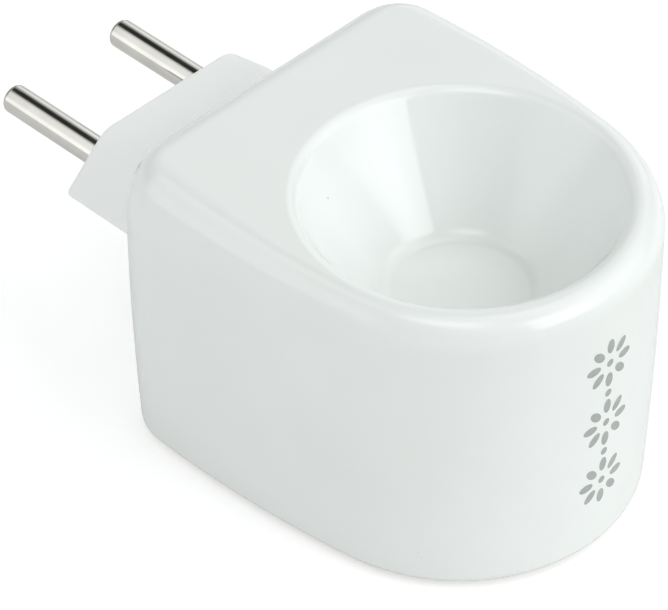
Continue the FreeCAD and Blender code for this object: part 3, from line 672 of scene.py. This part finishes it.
porcelain = new_material("glazed_porcelain", {"IOR": glaze_ior}, glaze_nodes)
show("porcelain_body", body_mesh, porcelain, 38.0, stands_for="ceramic_body")

# Printed motif
# A pale grey transfer, fired on the front wall: a column of three eight-petalled rosettes with a dot between
# each two. It is a film a few hundredths of a millimetre thick, bent to the wall's curve.
motif_half_thickness = 0.00002
motif_pitch = 0.0098
motif_mid_height = 0.0225
petal_count = 8
petal_length = 0.0022
petal_half_width = 0.00062
petal_centre = 0.0027
motif_dot_radius = 0.00055
film_points = 28
film_size_shares = np.array([0.4, 0.8, 1.0, 1.0, 0.8, 0.4])
film_sides = np.array([1, 1, 1, -1, -1, -1])
wall_rounds = 3
print_gray = (0.405, 0.425, 0.405, 1.0)
print_gray_deep = (0.37, 0.39, 0.37, 1.0)


def wall_point(u, z, proud):
    """A point on the front wall from its length u round the wall and its height z, standing proud of it. The
    wall's radius falls from the shoulder to the base with the square of the share of the way down. The
    shoulder's height depends on y, so the radius is found in a few rounds."""
    turn = u / front_radius
    low = base_z + base_edge_radius
    radius = np.full_like(u, front_radius)
    for _ in range(wall_rounds):
        y = bowl_y - radius * np.cos(turn)
        share = (y - front_y) / (back_y - front_y)
        top = rim_z - shoulder_front_drop - (shoulder_back_drop - shoulder_front_drop) * share
        radius = front_radius - base_draw_in * ((top - z) / (top - low)) ** 2
    radius = radius + proud
    return np.stack([radius * np.sin(turn), bowl_y - radius * np.cos(turn), z], -1)


def print_patch(middle_u, middle_z, long_radius, short_radius, turn):
    """The rings of a closed film in the shape of an ellipse on the wall: the outer face, then the inner."""
    t = np.linspace(0, 2 * math.pi, film_points, endpoint=False)
    size = film_size_shares[:, None]
    proud = film_sides[:, None] * motif_half_thickness * np.ones_like(t)
    a = size * long_radius * np.cos(t)
    b = size * short_radius * np.sin(t)
    u = middle_u + a * math.cos(turn) - b * math.sin(turn)
    z = middle_z + a * math.sin(turn) + b * math.cos(turn)
    return wall_point(u, z, proud)


patches = []
for row in (-1, 0, 1):
    row_z = motif_mid_height + row * motif_pitch
    for petal in range(petal_count):
        angle = 2 * math.pi * petal / petal_count
        u = petal_centre * math.cos(angle)
        z = row_z + petal_centre * math.sin(angle)
        patches.append(print_patch(u, z, petal_length / 2, petal_half_width, angle))
    patches.append(print_patch(0.0, row_z, motif_dot_radius, motif_dot_radius, 0.0))
for row in (-0.5, 0.5):
    row_z = motif_mid_height + row * motif_pitch
    patches.append(print_patch(0.0, row_z, motif_dot_radius, motif_dot_radius, 0.0))


def print_nodes(add):
    """Grey ceramic ink under the same glaze, a little uneven where the transfer was thin."""
    tone = group_node(add, uneven_tone, Scale=900.0, Pale=print_gray, Dark=print_gray_deep)
    gloss = group_node(add, uneven_gloss, Scale=600.0, Low=0.10, High=0.16)
    return {"Base Color": tone["Color"], "Roughness": gloss["Roughness"]}


transfer = new_material("fired_transfer", {"IOR": 1.5}, print_nodes)
show("printed_motif", closed_skins("printed_motif", np.array(patches)), transfer, 40.0)

# Plug
# A white moulded plug: a hexagonal nose with rounded edges outside the wall, a flange that bears on the wall
# from the inside, and a block behind it. It was moulded round the roots of its two pins.
plug_nose_length = 0.0150
plug_end_radius = 0.0007
plug_gasket_thickness = 0.0008
plug_flange_thickness = 0.0024
plug_block_length = 0.0035
plug_flange_y = plug_seat_y - plug_gasket_thickness
plug_block_y = plug_flange_y - plug_flange_thickness
plug_inner_y = plug_block_y - plug_block_length
plug_block_margin = 0.0029
plug_block_height_share = 0.62
plug_edge_soften = 0.0003
plug_nose_rings = 12
plug_end_rings = 9
plug_face_shares = (0.25, 0.5, 0.75)
pin_pitch = 0.0190
pin_root_radius = 0.0016
pin_face_y = back_y + plug_nose_length
plastic_pale = (0.925, 0.942, 0.930, 1.0)
plastic_deep = (0.905, 0.922, 0.910, 1.0)


def plug_mesh():
    """A closed skin through rings in planes across the pins: the block's rectangle, the flange's hexagon,
    and the nose's hexagon, whose end is rounded over a quarter circle. The block's ring has the hexagon's
    points by their angle, carried out to the sides of the rectangle."""
    def ring(margin, y):
        return hexagon_ring(margin) + (0, y, 0)

    soft = plug_edge_soften
    base = hexagon_ring(0)
    way = np.arctan2((base[:, 2] - plug_z) / plug_height, base[:, 0] / plug_width)
    reach = 1 / np.maximum(np.abs(np.cos(way)), np.abs(np.sin(way)))
    half_x = pin_pitch / 2 + pin_root_radius + plug_block_margin
    half_z = plug_block_height_share * plug_height / 2

    def block(y, less):
        x = (half_x - less) * reach * np.cos(way)
        z = plug_z + (half_z - less) * reach * np.sin(way)
        return np.column_stack([x, np.full_like(x, y), z])

    rings = [
        block(plug_inner_y, soft),
        block(plug_inner_y + soft, 0),
        block(plug_block_y, 0),
        ring(plug_flange_width - soft, plug_block_y),
        ring(plug_flange_width, plug_block_y + soft),
        ring(plug_flange_width, plug_flange_y - soft),
        ring(plug_flange_width - soft, plug_flange_y),
        ring(0, plug_flange_y),
    ]
    for y in np.linspace(plug_flange_y, pin_face_y - plug_end_radius, plug_nose_rings)[1:]:
        rings.append(ring(0, y))
    for turn in np.linspace(0, math.pi / 2, plug_end_rings)[1:]:
        inward = plug_end_radius * (1 - math.cos(turn))
        rings.append(ring(-inward, pin_face_y - plug_end_radius * (1 - math.sin(turn))))
    middle = np.array([0, pin_face_y, plug_z])
    for share in plug_face_shares:
        rings.append(ring(-plug_end_radius, pin_face_y) * (1 - share) + middle * share)
    return closed_skin("plug_nose", np.array(rings))


skin_relief, add, given, out = effect(
    "skin_relief",
    {"Scale": 3000.0, "Height": 0.00001},
    {"Normal": "Vector"},
)
noise = add("ShaderNodeTexNoise", {"Detail": 2.0, "Roughness": 0.5})
link(add("ShaderNodeTexCoord").outputs["Object"], noise.inputs["Vector"])
link(given["Scale"], noise.inputs["Scale"])
relief = add("ShaderNodeBump", Height=noise.outputs[0])
link(given["Height"], relief.inputs["Distance"])
link(relief.outputs["Normal"], out["Normal"])


def grained(name, ior, pale, deep, tone_scale, gloss, gloss_scale, grain_scale, grain_height):
    """A material that isn't metal, with a slightly uneven tone and gloss and a fine grain."""
    def driven(add):
        tone = group_node(add, uneven_tone, Scale=tone_scale, Pale=pale, Dark=deep)
        sheen = group_node(add, uneven_gloss, Scale=gloss_scale, Low=gloss[0], High=gloss[1])
        grain = group_node(add, skin_relief, Scale=grain_scale, Height=grain_height)
        return {"Base Color": tone["Color"], "Roughness": sheen["Roughness"], "Normal": grain["Normal"]}

    return new_material(name, {"IOR": ior}, driven)


plug_plastic = grained(
    "white_plug_plastic", ior=1.5, pale=plastic_pale, deep=plastic_deep, tone_scale=85.0,
    gloss=(0.42, 0.52), gloss_scale=900.0, grain_scale=4200.0, grain_height=0.000012,
)
show("plug_nose", plug_mesh(), plug_plastic, 35.0, stands_for="plug_body")

# Pins
# Two solid round pins of nickel-plated brass, turned with a rounded tip. Each has a thinner root with a
# collar that the plug is moulded round, and a tail at the back for the lead's terminal.
pin_radius = 0.0020
pin_length = 0.0190
pin_tip_radius = 0.0008
pin_tip_flat_share = 0.3
pin_collar_radius = 0.0024
pin_collar_length = 0.0012
pin_collar_depth = 0.0060
pin_tail_radius = 0.0011
pin_tail_length = 0.0035
pin_tail_bevel = pin_tail_radius * 0.15
pin_points = 64
pin_length_rings = 10
pin_tip_rings = 13
nickel_pale = (0.700, 0.685, 0.650, 1.0)
nickel_deep = (0.640, 0.625, 0.590, 1.0)


def turned_along_y(name, profile, x, z):
    """A closed body of revolution about a line along Y, from a profile of radius and y."""
    turn = np.linspace(0, 2 * math.pi, pin_points, endpoint=False)
    radius, y = np.array(profile).T[:, :, None]
    grid = np.broadcast_arrays(x + radius * np.cos(turn), y, z + radius * np.sin(turn))
    return closed_skin(name, np.stack(grid, -1))


def pin_profile():
    """Tail, root, collar and free length, each with crisp steps, and a quarter circle at the tip."""
    tail_y = plug_inner_y - pin_tail_length
    tip_y = pin_face_y + pin_length
    tip_flat_radius = pin_radius - pin_tip_radius
    collar_y = pin_face_y - pin_collar_depth
    profile = [
        (pin_tail_radius - pin_tail_bevel, tail_y),
        (pin_tail_radius, tail_y + pin_tail_bevel),
        (pin_tail_radius, plug_inner_y),
        (pin_root_radius, plug_inner_y),
        (pin_root_radius, collar_y - pin_collar_length),
        (pin_collar_radius, collar_y - pin_collar_length),
        (pin_collar_radius, collar_y),
        (pin_root_radius, collar_y),
        (pin_root_radius, pin_face_y),
        (pin_radius, pin_face_y),
    ]
    for y in np.linspace(pin_face_y, tip_y - pin_tip_radius, pin_length_rings)[1:]:
        profile.append((pin_radius, y))
    for turn in np.linspace(0, math.pi / 2, pin_tip_rings)[1:]:
        radius = tip_flat_radius + pin_tip_radius * math.cos(turn)
        profile.append((radius, tip_y - pin_tip_radius * (1 - math.sin(turn))))
    return profile + [(pin_radius * pin_tip_flat_share, tip_y)]


drawn_grain, add, given, out = effect(
    "drawn_grain",
    {"Stretch": (900.0, 900.0, 900.0), "Height": 0.000002},
    {"Normal": "Vector"},
)
stretched = add("ShaderNodeVectorMath", settings={"operation": "MULTIPLY"})
link(add("ShaderNodeTexCoord").outputs["Object"], stretched.inputs[0])
link(given["Stretch"], stretched.inputs[1])
noise = add("ShaderNodeTexNoise", {"Scale": 1.0, "Detail": 3.0}, Vector=stretched.outputs["Vector"])
relief = add("ShaderNodeBump", Height=noise.outputs[0])
link(given["Height"], relief.inputs["Distance"])
link(relief.outputs["Normal"], out["Normal"])


def drawn_metal(name, pale, deep, tone_scale, gloss, gloss_scale, stretch, grain_height):
    """A metal with a slightly uneven tone and gloss and fine lines along the axis with the least stretch."""
    def driven(add):
        tone = group_node(add, uneven_tone, Scale=tone_scale, Pale=pale, Dark=deep)
        sheen = group_node(add, uneven_gloss, Scale=gloss_scale, Low=gloss[0], High=gloss[1])
        grain = group_node(add, drawn_grain, Stretch=stretch, Height=grain_height)
        return {"Base Color": tone["Color"], "Roughness": sheen["Roughness"], "Normal": grain["Normal"]}

    return new_material(name, {"Metallic": 1.0}, driven)


nickel = drawn_metal(
    "satin_nickel", pale=nickel_pale, deep=nickel_deep, tone_scale=260.0,
    gloss=(0.11, 0.17), gloss_scale=420.0, stretch=(5200.0, 160.0, 5200.0), grain_height=0.0000008,
)
for side, x in (("left", -pin_pitch / 2), ("right", pin_pitch / 2)):
    pin_mesh = turned_along_y("pin_" + side, pin_profile(), x, plug_z)
    show("pin_" + side, pin_mesh, nickel, 35.0, stands_for="plug_pin_" + side)

# Feet and gasket
# Four soft silicone feet in pockets of the base cover, and a silicone ring between the plug's flange and the
# wall. Both are die-cut or moulded from matt white silicone with a dusty skin.
silicone_pale = (0.74, 0.74, 0.715, 1.0)
silicone_deep = (0.70, 0.70, 0.67, 1.0)


def dress(material, *names):
    """Gives nodes of the frame their finished material in place of the plain one."""
    for name in names:
        bpy.data.objects[name].data.materials.clear()
        bpy.data.objects[name].data.materials.append(material)


silicone = grained(
    "white_silicone", ior=1.41, pale=silicone_pale, deep=silicone_deep, tone_scale=180.0,
    gloss=(0.52, 0.66), gloss_scale=700.0, grain_scale=1600.0, grain_height=0.000015,
)
dress(silicone, "rubber_feet", "plug_gasket")

# Base cover
# One moulding of white plastic that closes the underside, with two posts inside for the leaf spring. Its
# outer face has a coarser spark-eroded grain than the plug, and screws hold it to the body's bosses.
cover_pale = (0.745, 0.755, 0.745, 1.0)
cover_deep = (0.715, 0.728, 0.715, 1.0)

cover_plastic = grained(
    "white_cover_plastic", ior=1.5, pale=cover_pale, deep=cover_deep, tone_scale=60.0,
    gloss=(0.50, 0.62), gloss_scale=1100.0, grain_scale=2600.0, grain_height=0.00003,
)
dress(cover_plastic, "base_cover")

# Screws, nut and bracket
# Zinc-plated steel: three countersunk slotted screws, the front one's nut, and the stamped bracket whose
# prongs hold the plug. The plate is bright with a faint bluish cast and cloudy patches.
zinc_pale = (0.66, 0.675, 0.69, 1.0)
zinc_deep = (0.56, 0.575, 0.585, 1.0)

zinc = drawn_metal(
    "bright_zinc", pale=zinc_pale, deep=zinc_deep, tone_scale=520.0,
    gloss=(0.22, 0.38), gloss_scale=800.0, stretch=(600.0, 4200.0, 4200.0), grain_height=0.000003,
)
dress(zinc, "base_screws", "boss_nut", "plug_bracket")

# Heat path
# Under the bowl lie a soft grey-blue pad of filled silicone, a turned aluminium disc and a punched sheet of
# amber mica with darker flakes. They carry the heat up and keep the current in.
pad_pale = (0.30, 0.36, 0.42, 1.0)
pad_deep = (0.25, 0.31, 0.37, 1.0)
aluminium_pale = (0.80, 0.81, 0.82, 1.0)
aluminium_deep = (0.70, 0.71, 0.72, 1.0)
mica_pale = (0.55, 0.44, 0.27, 1.0)
mica_deep = (0.38, 0.29, 0.16, 1.0)


def aluminium_nodes(add):
    """Aluminium as it was faced on a lathe: fine rings about the bowl's axis."""
    tone = group_node(add, uneven_tone, Scale=350.0, Pale=aluminium_pale, Dark=aluminium_deep)
    gloss = group_node(add, uneven_gloss, Scale=500.0, Low=0.30, High=0.42)
    place = add("ShaderNodeMapping", {"Location": (0.0, -bowl_y, 0.0)})
    link(add("ShaderNodeTexCoord").outputs["Object"], place.inputs["Vector"])
    rings = add("ShaderNodeTexWave", {"Scale": 900.0, "Distortion": 0.6, "Detail": 1.0}, {
        "wave_type": "RINGS", "rings_direction": "Z",
    }, Vector=place.outputs["Vector"])
    normal = add("ShaderNodeBump", {"Distance": 0.000004}, Height=rings.outputs[1])
    return {"Base Color": tone["Color"], "Roughness": gloss["Roughness"], "Normal": normal.outputs["Normal"]}


heat_pad = grained(
    "heat_pad", ior=1.45, pale=pad_pale, deep=pad_deep, tone_scale=400.0,
    gloss=(0.62, 0.78), gloss_scale=900.0, grain_scale=2400.0, grain_height=0.00002,
)
faced_aluminium = new_material("faced_aluminium", {"Metallic": 1.0}, aluminium_nodes)
amber_mica = grained(
    "amber_mica", ior=1.58, pale=mica_pale, deep=mica_deep, tone_scale=700.0,
    gloss=(0.22, 0.45), gloss_scale=500.0, grain_scale=900.0, grain_height=0.00001,
)
dress(heat_pad, "thermal_pad")
dress(faced_aluminium, "heat_spreader")
dress(amber_mica, "mica_sheet")

# Heating disc
# A dark sintered disc that limits its own heat, pressed between two contacts stamped from rolled brass that
# has tarnished a little, in a chalky cup of unglazed steatite.
brass_pale = (0.76, 0.60, 0.30, 1.0)
brass_deep = (0.62, 0.46, 0.20, 1.0)
sinter_pale = (0.060, 0.060, 0.066, 1.0)
sinter_deep = (0.035, 0.035, 0.040, 1.0)
steatite_pale = (0.80, 0.78, 0.72, 1.0)
steatite_deep = (0.74, 0.71, 0.64, 1.0)

brass = drawn_metal(
    "rolled_brass", pale=brass_pale, deep=brass_deep, tone_scale=450.0,
    gloss=(0.24, 0.38), gloss_scale=650.0, stretch=(500.0, 3600.0, 3600.0), grain_height=0.000003,
)
sintered = grained(
    "sintered_disc", ior=1.6, pale=sinter_pale, deep=sinter_deep, tone_scale=1300.0,
    gloss=(0.55, 0.75), gloss_scale=1500.0, grain_scale=5000.0, grain_height=0.00001,
)
steatite = grained(
    "bare_steatite", ior=1.55, pale=steatite_pale, deep=steatite_deep, tone_scale=240.0,
    gloss=(0.60, 0.80), gloss_scale=900.0, grain_scale=3600.0, grain_height=0.000018,
)
dress(brass, "electrode_upper", "electrode_lower", "pin_terminals", "lead_crimps")
dress(sintered, "ptc_disc")
dress(steatite, "heater_cup")

# Spring, fuse and clip
# A bent strip of rolled spring steel presses the cup up against the bowl. The thermal fuse is a small steel
# can with a wire at each end, held by a clip of the same strip.
stainless_pale = (0.66, 0.655, 0.64, 1.0)
stainless_deep = (0.56, 0.555, 0.54, 1.0)

stainless = drawn_metal(
    "spring_stainless", pale=stainless_pale, deep=stainless_deep, tone_scale=380.0,
    gloss=(0.24, 0.36), gloss_scale=600.0, stretch=(300.0, 4800.0, 4800.0), grain_height=0.000003,
)
dress(stainless, "leaf_spring", "thermal_fuse", "fuse_clip")

# Sleeve and leads
# A braided glass-fibre sleeve insulates the fuse, and three short leads with smooth white extruded
# insulation join the pins, the fuse and the contacts.
braid_pale = (0.78, 0.76, 0.68, 1.0)
braid_deep = (0.60, 0.58, 0.50, 1.0)
insulation_pale = (0.80, 0.80, 0.775, 1.0)
insulation_deep = (0.76, 0.76, 0.73, 1.0)


def braid_nodes(add):
    """Two crossing sets of strands, which run round the sleeve as it goes along Y."""
    place = add("ShaderNodeTexCoord").outputs["Object"]
    tone = group_node(add, uneven_tone, Scale=1500.0, Pale=braid_pale, Dark=braid_deep)
    strands = []
    for lean in (math.pi / 4, -math.pi / 4):
        turned = add("ShaderNodeMapping", {"Rotation": (0.0, 0.0, lean)}, Vector=place)
        bands = add("ShaderNodeTexWave", {"Scale": 700.0}, Vector=turned.outputs["Vector"])
        strands.append(bands.outputs[1])
    height = math_node(add, "MAXIMUM", strands[0], strands[1])
    normal = add("ShaderNodeBump", {"Distance": 0.00006}, Height=height)
    gloss = group_node(add, uneven_gloss, Scale=900.0, Low=0.60, High=0.80)
    return {"Base Color": tone["Color"], "Roughness": gloss["Roughness"], "Normal": normal.outputs["Normal"]}


glass_braid = new_material("glass_braid", {"IOR": 1.5}, braid_nodes)
insulation = grained(
    "white_insulation", ior=1.4, pale=insulation_pale, deep=insulation_deep, tone_scale=160.0,
    gloss=(0.24, 0.34), gloss_scale=700.0, grain_scale=500.0, grain_height=0.00001,
)
dress(glass_braid, "fuse_sleeve")
dress(insulation, "lead_live", "lead_fused", "lead_neutral")
